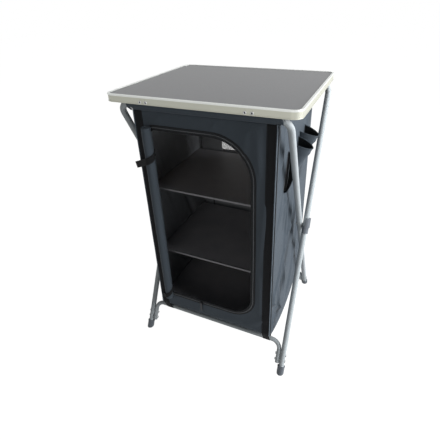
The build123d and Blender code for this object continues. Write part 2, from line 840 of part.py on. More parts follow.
# Pockets on the right side
def cup_ring(place, height, dip, half_width, reach, bulge):
    """A pocket's outline against the side panel, whose outer tip hangs lower by a dip."""
    wall = cabinet_half_width
    tip = (wall + reach, place, height - dip)
    corners = [(wall, place + side * half_width, height) for side in (-1, 1)]
    edges = [Line(*corners)]
    for side, corner in zip((-1, 1), corners):
        out = reach / 2 + bulge
        middle = (wall + out, place + side * (half_width / 2 + bulge), height - dip * out / reach)
        edges.append(ThreePointArc(corner, middle, tip))
    return make_face(edges)


def cup_pocket(place, mouth):
    """A cup pocket: an open cone sewn to the side panel, which narrows to its foot."""
    foot = mouth - cup_height
    foot_bulge = cup_side_bulge * cup_foot_reach / cup_reach
    inner_reach = cup_reach - 2 * fabric
    inner_dip = cup_mouth_dip * inner_reach / cup_reach
    foot_reach_inside = cup_foot_reach - fabric
    outside = loft(
        [
            cup_ring(place, foot, 0, cup_foot_half_width, cup_foot_reach, foot_bulge),
            cup_ring(place, mouth, cup_mouth_dip, cup_half_width, cup_reach, cup_side_bulge),
        ],
        ruled=True,
    )
    inside = loft(
        [
            cup_ring(
                place, foot + fabric, 0, cup_foot_half_width - fabric, foot_reach_inside, foot_bulge
            ),
            cup_ring(place, mouth, inner_dip, cup_half_width - fabric, inner_reach, cup_side_bulge),
        ],
        ruled=True,
    )
    return outside - inside


def slit_pocket():
    """The slanted hand pocket, whose front edge gapes open."""
    run = Vector(0, slit_top[0] - slit_bottom[0], slit_top[1] - slit_bottom[1])
    up = run.normalized()
    back = Vector(1, 0, 0).cross(up) * -1

    def rib(distance, rise, inset):
        """An arched section across the pocket, at a distance behind its mouth."""
        foot = Vector(cabinet_half_width, *slit_bottom) + back * distance + up * inset
        head = foot + up * (run.length - 2 * inset)
        crown = (foot + head) * 0.5 + Vector(rise, 0, 0)
        return make_face([Line(foot, head), ThreePointArc(foot, crown, head)])

    outside = loft([rib(0, slit_gape, 0), rib(slit_depth, slit_seam_rise, 0)], ruled=True)
    inside = loft(
        [
            rib(0, slit_gape - fabric, fabric),
            rib(slit_depth - fabric, slit_seam_rise - fabric, fabric),
        ],
        ruled=True,
    )
    return outside - inside


os.makedirs("parts", exist_ok=True)

frame_b_bar, frame_b_legs = frame_tubes(frame_b_half)
frame_a_bar, frame_a_legs = frame_tubes(frame_a_half)
save("frame_b_tube", frame_b_bar)
save("frame_b_legs", frame_b_legs)
save("frame_a_tube", rear(frame_a_bar))
save("frame_a_legs", rear(frame_a_legs))
save("front_crossbar", crossbar(frame_b_half, crossbar_b_half))
save("rear_crossbar", rear(crossbar(frame_a_half, crossbar_a_half)))
save("front_leg_bolts", *leg_bolts(frame_b_half, crossbar_b_half))
save("rear_leg_bolts", *[rear(bolt) for bolt in leg_bolts(frame_a_half, crossbar_a_half)])
save("front_leg_nuts", *leg_nuts(crossbar_b_half))
save("rear_leg_nuts", *[rear(nut) for nut in leg_nuts(crossbar_a_half)])
save("front_foot_caps", *foot_caps(frame_b_half))
save("rear_foot_caps", *[rear(cap) for cap in foot_caps(frame_a_half)])
save("pivot_bolts", *pivot_bolts())
save("pivot_spacers", *pivot_spacers())
save("pivot_nuts", *pivot_nuts())
save("crossing_clips", *crossing_clips())

save("tabletop_edge", edge_extrusion())
save("tabletop_core", tabletop_sheet(core_bottom_height, core_thickness))
save("tabletop_laminate", tabletop_sheet(core_top_height, laminate_thickness))
save("tabletop_hooks", *hook_clips())
save("tabletop_rivets", *clip_rivets())

save("front_panel", front_panel())
save("back_panel", back_panel())
save("window_mesh", window_mesh())
save("window_tape", window_tape())
save("right_panel", side_panel())
save("left_panel", mirror(side_panel(), about=Plane.YZ))
save("floor_panel", floor_panel())
save("front_top_sleeve", rear(top_sleeve(frame_a_half, cabinet_front - fabric)))
save("rear_top_sleeve", top_sleeve(frame_b_half, cabinet_rear - fabric))
save("front_webbing", *webbing(webbing_centre, front_face, -1))
save("rear_webbing", *webbing(rear_webbing_centre, cabinet_rear, 1))
save("front_bar_loops", *bar_loops(webbing_centre, front_face, -1))
save("rear_bar_loops", *bar_loops(rear_webbing_centre, cabinet_rear, 1))
save("corner_piping", *corner_piping())
save("zip_tape", zip_tape())
save("rolled_door", rolled_door())
save("door_tie_straps", *tie_straps())
save("zip_slider", zip_slider())
save("zip_pull", zip_pull())

for name, low in zip(("upper_shelf", "middle_shelf", "bottom_board"), board_heights):
    save(name, board(low))
save("shelf_ledges", *board_ledges())
for name, place in zip(("rear_cup_pocket", "front_cup_pocket"), cup_places):
    save(name, cup_pocket(*place))
save("slit_pocket", slit_pocket())
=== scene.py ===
from math import acos, atan2, cos, exp, hypot, pi, radians, sin

import bpy
from mathutils import Matrix, Vector, noise

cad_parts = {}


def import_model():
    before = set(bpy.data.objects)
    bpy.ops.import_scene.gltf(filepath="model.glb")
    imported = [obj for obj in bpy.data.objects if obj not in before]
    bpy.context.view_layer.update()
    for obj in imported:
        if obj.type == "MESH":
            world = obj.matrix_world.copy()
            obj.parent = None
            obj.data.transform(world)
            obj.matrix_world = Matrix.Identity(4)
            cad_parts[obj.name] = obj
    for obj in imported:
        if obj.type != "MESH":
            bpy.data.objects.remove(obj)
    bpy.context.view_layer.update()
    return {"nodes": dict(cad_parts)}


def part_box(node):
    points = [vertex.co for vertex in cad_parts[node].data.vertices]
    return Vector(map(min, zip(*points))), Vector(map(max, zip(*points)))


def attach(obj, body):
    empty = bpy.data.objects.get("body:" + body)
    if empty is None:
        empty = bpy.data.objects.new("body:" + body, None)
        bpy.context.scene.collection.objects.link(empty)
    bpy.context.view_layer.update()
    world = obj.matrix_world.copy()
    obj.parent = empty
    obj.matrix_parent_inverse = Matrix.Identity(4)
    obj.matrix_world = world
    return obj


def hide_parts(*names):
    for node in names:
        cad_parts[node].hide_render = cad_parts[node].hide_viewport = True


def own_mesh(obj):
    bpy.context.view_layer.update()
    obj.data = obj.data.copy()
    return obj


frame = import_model()
nodes = frame["nodes"]

# Folding camping cupboard in its own frame: metres, front is -Y, the floor is Z = 0.
MM = 0.001

# The photograph's camera
PHOTO_PIXELS = 440
FOCAL_PIXELS = 354.32
PRINCIPAL_POINT = (228.93, 187.81)
CAMERA_PLACE = (0.47196, -1.08157, 1.25011)
CAMERA_AZIMUTH = 24.08
CAMERA_ELEVATION = 28.67
CAMERA_ROLL = -1.72
SENSOR_WIDTH = 36.0

# How much lower the photographed window reaches than its solid
WINDOW_DROP = 16 * MM

# Cabinet, read from the frame
panel_low, panel_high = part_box("front_panel")
half_width = panel_high.x
front = panel_low.y
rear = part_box("back_panel")[1].y
bottom = panel_low.z
top = panel_high.z
tape_low, tape_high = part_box("zip_tape")
roll_low, roll_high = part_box("rolled_door")
window_low, window_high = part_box("window_tape")
window_low.z -= WINDOW_DROP
top_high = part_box("tabletop_edge")[1]
shelf_nodes = ("upper_shelf", "middle_shelf", "bottom_board")
shelf_heights = [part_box(name)[0].z for name in shelf_nodes]
HANDS = ((-1, "left"), (1, "right"))

# Frames
TUBE_RADIUS = 10 * MM
TUBE_BEND = 45 * MM
FOOT_TO_BAR = 484 * MM
BAR_HEIGHT = 971 * MM
LEG_SLANT = atan2(FOOT_TO_BAR, BAR_HEIGHT)
CROSSBAR_RADIUS = 8 * MM
CROSSBAR_REACH = 200.7 * MM

# Fabric details
FABRIC = 1.2 * MM
PANEL_CORNER = 2 * MM
TAPE_WIDTH = 17 * MM
TAPE_THICKNESS = 1.0 * MM
COIL_LINE = 8.6 * MM
DOOR_RADII = (14 * MM, 80 * MM, 126 * MM, 14 * MM)
WINDOW_TAPE = 8 * MM
WINDOW_RADIUS = 7 * MM
WEBBING_WIDTH = 27 * MM
WEBBING = 1.4 * MM
PIPING_RADIUS = 1.8 * MM
HEM_SAG = 62 * MM
FRONT_RELIEF = 1.5
SIDE_RELIEF = 2.0

# The rolled door draws the left front edge in: how far, from which place, over which reaches
DRAWN_IN = 14 * MM
DRAWN_FROM = 172 * MM
DRAWN_WIDTH = 38 * MM
DRAWN_DEPTH = 46 * MM

# The shares of their depth meant for the cloth and the roll when the frame folds; pieces only test
# that one is given
FOLDED_SHARE = 0.13
FOLDED_ROLL_SHARE = 0.75


# Materials
RIM_LIP = 4.8 * MM
# How far below its start the painted highlight on the rim's top lip fades in
LIP_HIGHLIGHT_FADE = 0.6 * MM


def linear(*levels):
    """A colour written in screen levels from 0 to 255, as Blender's own linear values."""
    shares = [level / 255 for level in levels]
    return [s / 12.92 if s <= 0.04045 else ((s + 0.055) / 1.055) ** 2.4 for s in shares] + [1.0]


def add(tree, kind, **inputs):
    """Adds a shader node and sets its inputs by name."""
    node = tree.nodes.new(kind)
    for name, value in inputs.items():
        node.inputs[name.replace("_", " ")].default_value = value
    return node


def calculate(tree, operation, *values):
    """Adds a math node on sockets or numbers, and gives its result."""
    node = tree.nodes.new("ShaderNodeMath")
    node.operation = operation
    for socket, value in zip(node.inputs, values):
        if isinstance(value, float):
            socket.default_value = value
        else:
            tree.links.new(value, socket)
    return node.outputs[0]


def mix_colours(tree, share, first, second):
    """Adds a mix of two colours, each a socket or a list of levels, and gives its result."""
    node = tree.nodes.new("ShaderNodeMix")
    node.data_type = "RGBA"
    tree.links.new(share, node.inputs["Factor"])
    for letter, colour in (("A", first), ("B", second)):
        if isinstance(colour, list):
            node.inputs[letter].default_value = colour
        else:
            tree.links.new(colour, node.inputs[letter])
    return node.outputs["Result"]


def material(name, levels, roughness, metallic=0.0, mottle=0.12, mottle_size=30,
             weave=0.0, grain=0.0, grain_size=1, stretch=(1, 1, 1), depth=0.1,
             sheen=0.0, specular=0.5, wear=0.08, lip_highlight=None):
    """A finish with uneven colour and gloss, and a weave or a grain in its relief.

    Sizes are in millimetres. The last argument is a height in metres and a lighter colour: above
    that height the base colour turns to that colour, a painted highlight along the rim's top lip.
    """
    colour = linear(*levels)
    made = bpy.data.materials.new(name)
    made.use_nodes = True
    tree = made.node_tree
    shader = tree.nodes["Principled BSDF"]
    for name, value in (("Metallic", metallic), ("Specular IOR Level", specular),
                        ("Sheen Weight", sheen)):
        shader.inputs[name].default_value = value
    place = tree.nodes.new("ShaderNodeTexCoord").outputs["Object"]

    cloud = add(tree, "ShaderNodeTexNoise", Scale=1 / (mottle_size * MM), Detail=4.0, Roughness=0.6)
    tree.links.new(place, cloud.inputs["Vector"])
    shown = mix_colours(tree, cloud.outputs["Fac"],
                        [c * (1 - mottle) for c in colour[:3]] + [1],
                        [min(1, c * (1 + mottle)) for c in colour[:3]] + [1])
    # Painted highlight: above the given height the base colour turns to the given lighter colour.
    if lip_highlight:
        height, bright = lip_highlight
        split = tree.nodes.new("ShaderNodeSeparateXYZ")
        tree.links.new(place, split.inputs["Vector"])
        above = add(tree, "ShaderNodeMapRange", From_Min=height - LIP_HIGHLIGHT_FADE, From_Max=height)
        tree.links.new(split.outputs["Z"], above.inputs["Value"])
        shown = mix_colours(tree, above.outputs["Result"], shown, bright)
    tree.links.new(shown, shader.inputs["Base Color"])

    gloss = add(tree, "ShaderNodeMapRange", To_Min=roughness - wear, To_Max=roughness + wear)
    tree.links.new(cloud.outputs["Fac"], gloss.inputs["Value"])
    tree.links.new(gloss.outputs["Result"], shader.inputs["Roughness"])

    if weave:
        threads = []
        for direction in "XYZ":
            node = add(tree, "ShaderNodeTexWave", Scale=0.5 / (weave * MM))
            node.bands_direction = direction
            tree.links.new(place, node.inputs["Vector"])
            threads.append(node.outputs["Fac"])
        level = calculate(tree, "ADD", threads[0], threads[1])
        relief = calculate(tree, "MULTIPLY", level, threads[2])
    elif grain:
        stretched = add(tree, "ShaderNodeMapping", Scale=stretch)
        tree.links.new(place, stretched.inputs["Vector"])
        speck = add(tree, "ShaderNodeTexNoise", Scale=1 / (grain_size * MM), Detail=3.0)
        tree.links.new(stretched.outputs["Vector"], speck.inputs["Vector"])
        relief = speck.outputs["Fac"]
    else:
        relief = cloud.outputs["Fac"]
    bump = add(tree, "ShaderNodeBump", Strength=grain or 0.5, Distance=depth * MM)
    tree.links.new(relief, bump.inputs["Height"])
    tree.links.new(bump.outputs["Normal"], shader.inputs["Normal"])
    return made


slate = material("slate_cloth", (67, 75, 83), 0.66, weave=1.1, depth=0.12,
                 sheen=0.05, specular=0.1, mottle=0.1, mottle_size=60)
thread = material("slate_thread", (52, 58, 66), 0.6, mottle=0.1, mottle_size=3,
                  specular=0.3)
lining = material("coated_lining", (112, 115, 119), 0.55, weave=1.1, depth=0.08,
                  specular=0.2, mottle=0.15)
black_webbing = material("black_webbing", (30, 31, 33), 0.85, weave=1.7,
                         depth=0.3, sheen=0.02, specular=0.1)
black_tape = material("black_zip_tape", (32, 34, 36), 0.75, weave=0.9,
                      depth=0.15, sheen=0.02, specular=0.12)
coil = material("zip_coil", (64, 68, 72), 0.4)
net = material("window_net", (26, 28, 31), 0.7, grain=0.3, specular=0.2)
board_cloth = material("board_cloth", (130, 130, 135), 0.5, grain=0.35, grain_size=0.9,
                       specular=0.4, mottle=0.2, mottle_size=80)
binding = material("board_binding", (112, 114, 117), 0.5, weave=0.9, specular=0.4)
laminate = material("tabletop_laminate", (112, 113, 115), 0.38, grain=0.3,
                    grain_size=0.8, depth=0.06, mottle=0.05, mottle_size=4,
                    specular=0.35)
fibreboard = material("fibreboard", (150, 126, 98), 0.8, grain=0.5, grain_size=1.5)
# The rim's top lip turns lighter above its height: a painted highlight.
aluminium = material("brushed_aluminium", (184, 185, 173), 0.4, metallic=0.6, grain=0.35,
                     grain_size=0.5, stretch=(1, 1, 14), depth=0.04, mottle=0.04,
                     lip_highlight=(top_high.z - RIM_LIP, linear(222, 225, 222)))
powder_coat = material("silver_powder_coat", (166, 173, 177), 0.45, specular=0.15,
                       grain=0.25, grain_size=0.6, depth=0.04, mottle=0.05)
rivet_metal = material("bright_rivet_metal", (205, 207, 208), 0.34, metallic=0.3,
                       grain=0.2, mottle=0.03)
piping_cloth = material("slate_piping", (98, 108, 118), 0.55, weave=0.9,
                        sheen=0.05, specular=0.2)
zinc = material("zinc_plate", (168, 170, 172), 0.35, metallic=0.9, grain=0.3,
                grain_size=0.8, depth=0.03)
plastic = material("dark_plastic", (84, 90, 98), 0.5, grain=0.3, grain_size=0.7,
                   depth=0.05, mottle=0.08)
# Dark metal of the zip's slider and pull, also used for the painted shade in the rivets' middles
dark_metal_and_bore_shade = material("dark_zip_metal_and_bore_shade", (40, 41, 44), 0.38, metallic=0.6, grain=0.2)

NODE_FINISHES = {
    powder_coat: ("frame_a_tube", "frame_b_tube", "frame_a_legs", "frame_b_legs",
                  "front_crossbar", "rear_crossbar"),
    zinc: ("front_leg_bolts", "rear_leg_bolts", "front_leg_nuts", "rear_leg_nuts",
           "pivot_bolts", "pivot_nuts", "tabletop_hooks"),
    plastic: ("front_foot_caps", "rear_foot_caps", "crossing_clips", "pivot_spacers"),
    aluminium: ("tabletop_edge",),
    laminate: ("tabletop_laminate",),
    fibreboard: ("tabletop_core",),
    rivet_metal: ("tabletop_rivets",),
    board_cloth: shelf_nodes,
}
for finish, names in NODE_FINISHES.items():
    for name in names:
        nodes[name].data.materials.clear()
        nodes[name].data.materials.append(finish)


# Making pieces
def grid_faces(rows, columns, closed=False):
    """The four-sided faces of a grid of points, kept row by row."""
    faces = []
    for row in range(rows - 1):
        for column in range(columns if closed else columns - 1):
            other = (column + 1) % columns
            faces.append((
                row * columns + column, row * columns + other,
                (row + 1) * columns + other, (row + 1) * columns + column,
            ))
    return faces


def shifted(faces, base):
    """Faces for points that begin at a place further on."""
    return [tuple(base + corner for corner in face) for face in faces]


def new_object(name, data):
    obj = bpy.data.objects.new(name, data)
    bpy.context.scene.collection.objects.link(obj)
    return obj


def keep_mesh(obj):
    """Takes the object's modifiers into its mesh."""
    graph = bpy.context.evaluated_depsgraph_get()
    final = bpy.data.meshes.new_from_object(obj.evaluated_get(graph))
    obj.modifiers.clear()
    obj.data = final
    for polygon in obj.data.polygons:
        polygon.use_smooth = True


def piece(name, points, faces, finish, stands_for=(), slot=None, body="cabinet",
          thickness=0.0, outward=None, inside=None, folded=FOLDED_SHARE):
    """One piece of the object. A sheet gets its thickness on the side away from outward."""
    mesh = bpy.data.meshes.new(name)
    mesh.from_pydata([tuple(p) for p in points], [], faces)
    obj = new_object(name, mesh)
    mesh.materials.append(finish)
    if outward:
        mesh.update()
        facing = sum((p.normal * p.area for p in mesh.polygons), Vector()).dot(Vector(outward))
        if facing < 0:
            mesh.flip_normals()
    if thickness:
        if inside:
            mesh.materials.append(inside)
        solid = obj.modifiers.new("thickness", "SOLIDIFY")
        solid.thickness = thickness
        solid.offset = -1
        solid.use_even_offset = False
        solid.material_offset = 1 if inside else 0
    keep_mesh(obj)
    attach(obj, body)
    if stands_for:
        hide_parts(*stands_for)
    if body == "cabinet" and folded:
        gather(obj)
    return obj


def gather(obj):
    """Gives the piece a mesh of its own."""
    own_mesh(obj)


# The steps along a rounded rectangle's level and upright edges
EDGE_STEPS = (44, 84)


def rounded_loop(low, high, radii, arc_steps=14):
    """Points round a rectangle, anticlockwise from the lower left, each corner with its radius."""
    corners = (low, (high[0], low[1]), high, (low[0], high[1]))
    arcs = []
    for index, ((x, z), radius) in enumerate(zip(corners, radii)):
        centre_x = x + radius if x == low[0] else x - radius
        centre_z = z + radius if z == low[1] else z - radius
        angles = evenly(pi + index * pi / 2, pi + (index + 1) * pi / 2, arc_steps)
        arcs.append([(centre_x + radius * cos(a), centre_z + radius * sin(a)) for a in angles])
    loop = []
    for index, arc in enumerate(arcs):
        following = arcs[(index + 1) % 4][0]
        steps = EDGE_STEPS[index % 2]
        loop += arc
        loop += [between(arc[-1], following, step / steps) for step in range(1, steps)]
    return loop


def between(a, b, share):
    """A place on the way from a to b."""
    return tuple(p + (q - p) * share for p, q in zip(a, b))


def evenly(low, high, steps):
    """Values from low to high in even steps, both included."""
    return [low + (high - low) * step / steps for step in range(steps + 1)]


def clamp(value):
    return min(1.0, max(0.0, value))


def swell(value, reach):
    """1 at zero, and falling smoothly to nothing at a few times the reach."""
    return exp(-(value / reach) ** 2)


def crease(x, z, start_x, start_z, end_x, end_z, reach, height):
    """The height of a soft fold that runs from start to end and fades at both."""
    run_x, run_z = end_x - start_x, end_z - start_z
    size = hypot(run_x, run_z)
    along = ((x - start_x) * run_x + (z - start_z) * run_z) / size
    aside = ((x - start_x) * run_z - (z - start_z) * run_x) / size
    past = max(0.0, -along, along - size)
    taper = 0.55 + 0.45 * sin(pi * clamp(along / size))
    return height * taper * swell(aside, reach) * swell(past, 1.6 * reach)


# How the cloth lies: each fold's start and end, its reach and its height, in millimetres
FRONT_FOLDS = (
    (150, 945, 140, 860, 9, 3.0),
    (176, 948, 186, 800, 8, 3.5),
    (205, 700, 190, 480, 12, 2.5),
    (192, 420, 196, 250, 9, 2.5),
    (60, 950, 40, 915, 10, 1.5),
    (-120, 950, -150, 915, 10, 1.5),
    (150, 170, 215, 225, 12, 2.5),
    (-215, 160, -190, 195, 10, 2.0),
    (-60, 152, -52, 178, 8, 1.5),
    (40, 152, 110, 176, 12, 1.5),
)
RIGHT_FOLDS = (
    (-124, 700, -118, 560, 7, 3.5),
    (-104, 690, -96, 520, 6, -3.5),
    (-84, 640, -92, 430, 7, 4.0),
    (-64, 600, -72, 440, 6, -4.0),
    (-30, 660, -50, 420, 11, 4.0),
    (-146, 706, -200, 590, 5, 2.5),
    (-60, 760, -205, 560, 5, 1.8),
    (30, 690, 20, 430, 16, 4.0),
    (95, 560, 80, 300, 14, 4.0),
    (-40, 520, -205, 300, 7, 4.0),
    (-72, 480, -196, 330, 6, -3.0),
    (-200, 340, -212, 300, 6, 5.0),
    (-212, 296, -196, 276, 5, 6.0),
    (-196, 300, -188, 262, 5, -5.0),
    (-110, 400, -120, 300, 7, -4.0),
    (-96, 420, -70, 240, 8, 4.0),
    (-140, 300, -130, 160, 8, 3.5),
    (-206, 250, -206, 140, 5, 3.0),
    (-190, 250, -192, 150, 5, -3.0),
    (-160, 226, -60, 150, 9, 4.0),
    (-205, 200, -150, 190, 5, 3.0),
    (-160, 930, -196, 780, 9, 3.5),
    (-186, 930, -214, 820, 7, -2.5),
    (-120, 945, -100, 860, 10, 2.5),
    (-60, 900, -92, 845, 8, 2.5),
    (60, 330, 0, 150, 14, 4.0),
    (140, 420, 150, 170, 12, -3.5),
    (150, 900, 130, 700, 16, 3.0),
)
LEFT_FOLDS = (
    (-180, 900, -60, 560, 16, 4.0),
    (-40, 930, 0, 560, 20, -4.0),
    (60, 900, 140, 620, 16, 4.0),
    (-190, 420, 0, 200, 14, 4.0),
    (40, 560, 160, 230, 18, 4.5),
    (-120, 620, -140, 420, 14, -4.0),
)
RIGHT_SEED = 2.0
BACK_FOLDS = (
    (-200, 930, -150, 860, 12, 3.0),
    (200, 930, 150, 860, 12, 3.0),
    (-120, 640, -60, 300, 20, 4.0),
    (60, 650, 40, 250, 22, -4.0),
    (150, 640, 170, 300, 16, 4.0),
    (-190, 600, -180, 200, 14, 3.0),
)


def cloth_height(place, folds, seed, slack):
    """How far a panel stands out at a place, from its folds and a slow unevenness."""
    height = sum(crease(place[0] / MM, place[1] / MM, *fold) for fold in folds) * MM
    slow = noise.noise(Vector((place[0] * 9, place[1] * 5, seed)))
    fine = noise.noise(Vector((place[0] * 34, place[1] * 16, seed + 7)))
    return height + slack * slow + 0.22 * slack * fine


def held(value, low, high, reach):
    """0 at two edges and past them, and 1 away from them."""
    return max(0.0, min(1.0, (value - low) / reach) * min(1.0, (high - value) / reach))


def drawn(x, y):
    """A place across the cabinet, whose left front edge the rolled door draws in."""
    near_edge = clamp((-x - DRAWN_FROM) / DRAWN_WIDTH)
    near_front = clamp(1 - (y - front) / DRAWN_DEPTH)
    return x + DRAWN_IN * near_edge * near_front


def loop_area(loop):
    """The area inside a loop of places."""
    return sum(a[0] * b[1] - b[0] * a[1] for a, b in zip(loop, loop[1:] + loop[:1])) / 2


# One stitch, in millimetres along the seam, across it and up
STITCH = ((-1.3, 0, 0), (1.3, 0, 0), (-0.7, -0.35, 0), (0.7, -0.35, 0), (0.7, 0.35, 0),
          (-0.7, 0.35, 0), (-0.6, 0, 0.4), (0.6, 0, 0.4))
STITCH_PITCH = 4.6 * MM
STITCH_FACES = ((2, 3, 7, 6), (4, 5, 6, 7), (0, 2, 6), (5, 0, 6), (3, 1, 7), (1, 4, 7))


def stitches(name, runs, up, slot):
    """Rows of raised thread along runs of points on a face whose outward side is up."""
    up = Vector(up)
    points, faces = [], []
    for run in runs:
        left = STITCH_PITCH / 2
        for start, end in zip(run, run[1:]):
            start, end = Vector(start), Vector(end)
            size = (end - start).length
            along = (end - start).normalized()
            aside = up.cross(along).normalized()
            while left < size:
                base = len(points)
                centre = start + along * left
                points += [centre + (along * a + aside * b + up * c) * MM for a, b, c in STITCH]
                faces += shifted(STITCH_FACES, base)
                left += STITCH_PITCH
            left -= size
    piece(name, points, faces, thread, slot=slot)


def hem_z(y):
    """The side panels' lower edge and the floor, which hang slack between the straps."""
    share = clamp((y - front - FABRIC) / (rear - front - 2 * FABRIC))
    return bottom - HEM_SAG * sin(pi * share) ** 0.8


def front_y(x, z):
    """The front panel's outer face."""
    loose = held(z, bottom, top, 12 * MM)
    return front - FRONT_RELIEF * loose * cloth_height((x, z), FRONT_FOLDS, 1.0, 1.0 * MM)


def back_y(x, z):
    """The back panel's outer face, flat at its edges and round the window."""
    loose = held(z, bottom, top, 20 * MM) * held(x, -half_width, half_width, 20 * MM)
    edge = max(abs(x) - window_high.x, window_low.z - z, z - window_high.z)
    loose *= clamp(edge / (25 * MM))
    return rear + loose * cloth_height((x, z), BACK_FOLDS, 5.0, 2.5 * MM)


def side_x(y, z, folds, seed):
    """A side panel's outer face, held in at its edges and where the boards stretch it."""
    loose = held(y, front, rear, 9 * MM) * held(z, hem_z(y), top, 14 * MM)
    height = SIDE_RELIEF * loose * cloth_height((y, z), folds, seed, 1.8 * MM)
    if height < 0:
        height *= 0.5
        for board in shelf_heights:
            height *= 1 - swell(z - board, 38 * MM)
    return half_width + height


# Panels
def door_loop(grow):
    """The door opening's outline, grown outwards."""
    low = (tape_low.x + TAPE_WIDTH - grow, tape_low.z + TAPE_WIDTH - grow)
    high = (tape_high.x - TAPE_WIDTH + grow, tape_high.z - TAPE_WIDTH + grow)
    return rounded_loop(low, high, [radius + grow for radius in DOOR_RADII])


def ring_piece(name, loops, shape, finish, **facts):
    """A sheet between loops of places, each lifted to the cloth's face."""
    points = [shape(x, z, row) for row, loop in enumerate(loops) for x, z in loop]
    return piece(name, points, grid_faces(len(loops), len(loops[0]), True), finish, **facts)


def panel_loops(inner, rows, **steps):
    """Loops of places from an opening's edge out to a panel's edge."""
    outer = rounded_loop((-half_width, bottom), (half_width, top), [PANEL_CORNER] * 4, **steps)
    return [
        [between(a, b, row / rows) for a, b in zip(inner, outer)] for row in range(rows + 1)
    ]


front_cloth = ring_piece("front_panel_cloth", panel_loops(door_loop(0), 12),
                         lambda x, z, row: (drawn(x, front), front_y(x, z), z), slate,
                         stands_for=("front_panel",), thickness=FABRIC, outward=(0, -1, 0),
                         inside=lining)
PANEL_SIZE = (2 * half_width, top - bottom)
PANEL_SIZE[0] * PANEL_SIZE[1] - loop_area(door_loop(0))


def window_loop(grow):
    """The window opening's outline, grown outwards."""
    edge = WINDOW_TAPE - grow
    low = (window_low.x + edge, window_low.z + edge)
    high = (window_high.x - edge, window_high.z - edge)
    return rounded_loop(low, high, [WINDOW_RADIUS + grow] * 4, arc_steps=6)


back_cloth = ring_piece("back_panel_cloth", panel_loops(window_loop(0), 40, arc_steps=6),
                        lambda x, z, row: (x, back_y(x, z), z), slate,
                        stands_for=("back_panel",), thickness=FABRIC, outward=(0, 1, 0),
                        inside=lining)
PANEL_SIZE[0] * PANEL_SIZE[1] - loop_area(window_loop(0))
ring_piece("window_binding", [window_loop(grow * MM) for grow in (-1.5, 0, 4, 8, 11, 12)],
           lambda x, z, row: (x, rear + (0.3, 1.3, 1.5, 1.5, 1.3, 0.2)[row] * MM, z), black_tape,
           stands_for=("window_tape",), thickness=0.9 * MM, outward=(0, 1, 0))


def side_cloth(name, node, side, folds, seed):
    """A side panel, slack at its lower hem."""
    rows, columns = 180, 100
    points = []
    for share in evenly(0, 1, rows):
        for y in evenly(front + FABRIC, rear - FABRIC, columns):
            z = hem_z(y) + (top - hem_z(y)) * share
            points.append((drawn(side * side_x(y, z, folds, seed), y), y, z))
    cloth = piece(name, points, grid_faces(rows + 1, columns + 1), slate, stands_for=(node,),
                  thickness=FABRIC, outward=(side, 0, 0), inside=lining)


side_cloth("right_panel_cloth", "right_panel", 1, RIGHT_FOLDS, RIGHT_SEED)
side_cloth("left_panel_cloth", "left_panel", -1, LEFT_FOLDS, 3.0)


def floor_cloth():
    """The cabinet's floor, whose edges are sewn into the panels and whose middle hangs."""
    steps = 40
    points = []
    for y in evenly(front + FABRIC / 4, rear - FABRIC / 4, steps):
        for x in evenly(-half_width, half_width, steps):
            loose = held(x, -half_width, half_width, 40 * MM) * held(y, front, rear, 40 * MM)
            sag = 2.5 * MM * loose * (1 + noise.noise(Vector((x * 8, y * 8, 9))))
            points.append((drawn(x, y), y, hem_z(y) + FABRIC / 4 - sag))
    cloth = piece("floor_cloth", points, grid_faces(steps + 1, steps + 1), slate,
                  stands_for=("floor_panel",), thickness=FABRIC, outward=(0, 0, -1),
                  inside=lining)


floor_cloth()


def window_net():
    """A fine net in the window, as crossing strips with square gaps."""
    pitch, strand = 3.4 * MM, 1.5 * MM
    low, high = window_low, window_high
    inset = WINDOW_TAPE - 2 * MM
    columns = int((high.x - low.x - 2 * inset) / pitch)
    rows = int((high.z - low.z - 2 * inset) / pitch)
    x0 = (low.x + high.x - columns * pitch) / 2
    z0 = (low.z + high.z - rows * pitch) / 2
    y = rear - 0.3 * MM
    points, faces = [], []
    for row in range(rows + 1):
        for column in range(columns + 1):
            x, z = x0 + column * pitch, z0 + row * pitch
            base = len(points)
            for dx, dz in ((-1, -1), (1, -1), (1, 1), (-1, 1)):
                points.append((x + dx * strand / 2, y, z + dz * strand / 2))
            faces.append((base, base + 1, base + 2, base + 3))
            if column < columns:
                faces.append((base + 1, base + 4, base + 7, base + 2))
            if row < rows:
                above = base + 4 * (columns + 1)
                faces.append((base + 3, base + 2, above + 1, above))
    piece("window_net_cloth", points, faces, net, stands_for=("window_mesh",),
          outward=(0, 1, 0))


window_net()


# Strips and tubes
def ribbon(name, path, across, width, finish, thickness=WEBBING, **facts):
    """A flat strap along a path. Across is its width direction, or a list of one each point."""
    columns = 4
    points = []
    for index, p in enumerate(path):
        side = Vector(across[index] if isinstance(across, list) else across)
        points += [Vector(p) + side * width * share for share in evenly(-0.5, 0.5, columns)]
    return piece(name, points, grid_faces(len(path), columns + 1), finish,
                 thickness=thickness, **facts)


def tube(name, path, radius, finish, sides, **facts):
    """A round tube along a path."""
    points = []
    normal = None
    for index, p in enumerate(path):
        ahead = Vector(path[min(index + 1, len(path) - 1)])
        behind = Vector(path[max(index - 1, 0)])
        along = (ahead - behind).normalized()
        if normal is None:
            normal = along.orthogonal().normalized()
        normal = (normal - along * normal.dot(along)).normalized()
        other = along.cross(normal)
        for side in range(sides):
            angle = 2 * pi * side / sides
            points.append(Vector(p) + (normal * cos(angle) + other * sin(angle)) * radius)
    faces = grid_faces(len(path), sides, True)
    last = (len(path) - 1) * sides
    faces.append(tuple(range(sides)))
    faces.append(tuple(last + side for side in range(sides - 1, -1, -1)))
    return piece(name, points, faces, finish, **facts)


